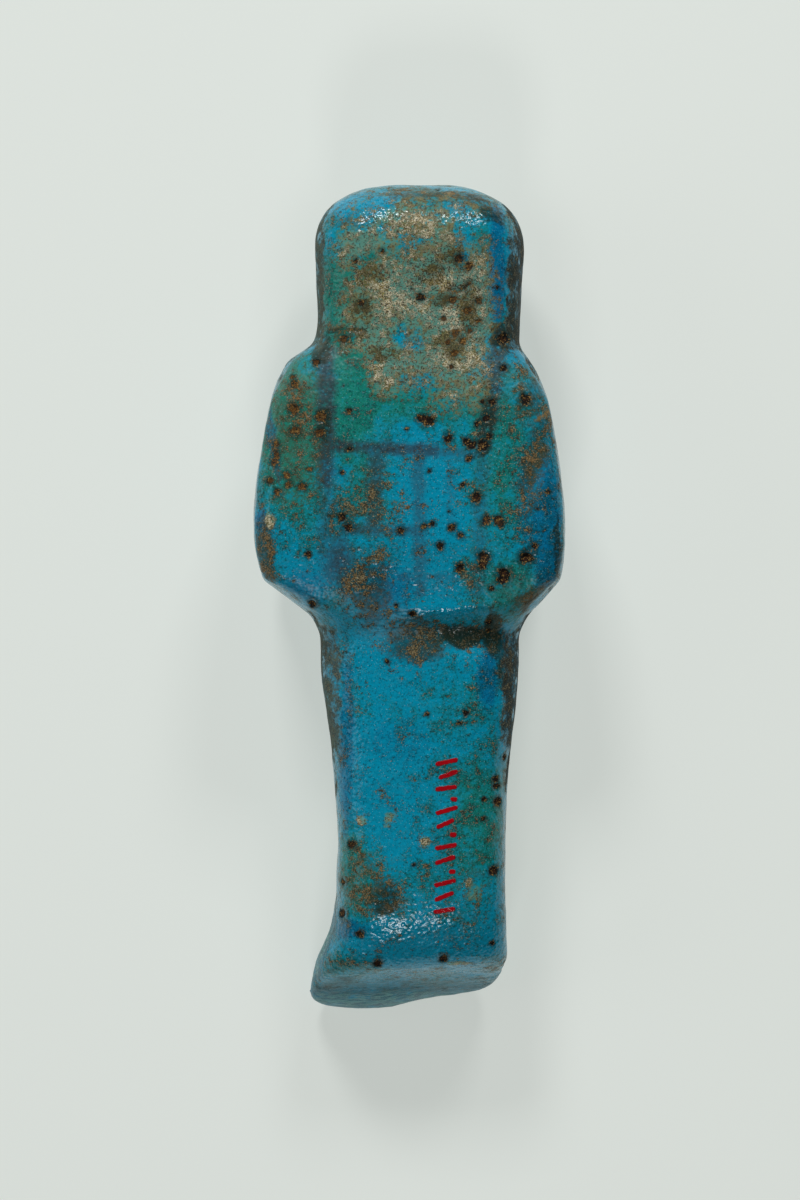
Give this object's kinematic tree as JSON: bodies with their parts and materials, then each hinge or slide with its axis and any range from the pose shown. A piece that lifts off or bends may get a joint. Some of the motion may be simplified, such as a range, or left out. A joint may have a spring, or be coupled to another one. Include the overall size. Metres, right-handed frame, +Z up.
{
  "type": "ushabti figurine",
  "caption": "Small mummy-shaped tomb figure of glazed faience with a plain wig, crossed forearms and a block-like foot; it lies on its front with its painted back up.",
  "frame": {"origin": "under the middle of the figure's box, on the surface it lies on", "axes": "+Y from the foot to the crown, +Z up out of the figure's back, +X to the right as seen from above with the head at the top"},
  "size_m": [0.0396, 0.1049, 0.026],
  "materials": {
    "faience": "worn glossy turquoise copper glaze with pits, beige crust and dark painted lines"
  },
  "bodies": {
    "root": {"ushabti_figure": "faience"}
  },
  "joints": []
}
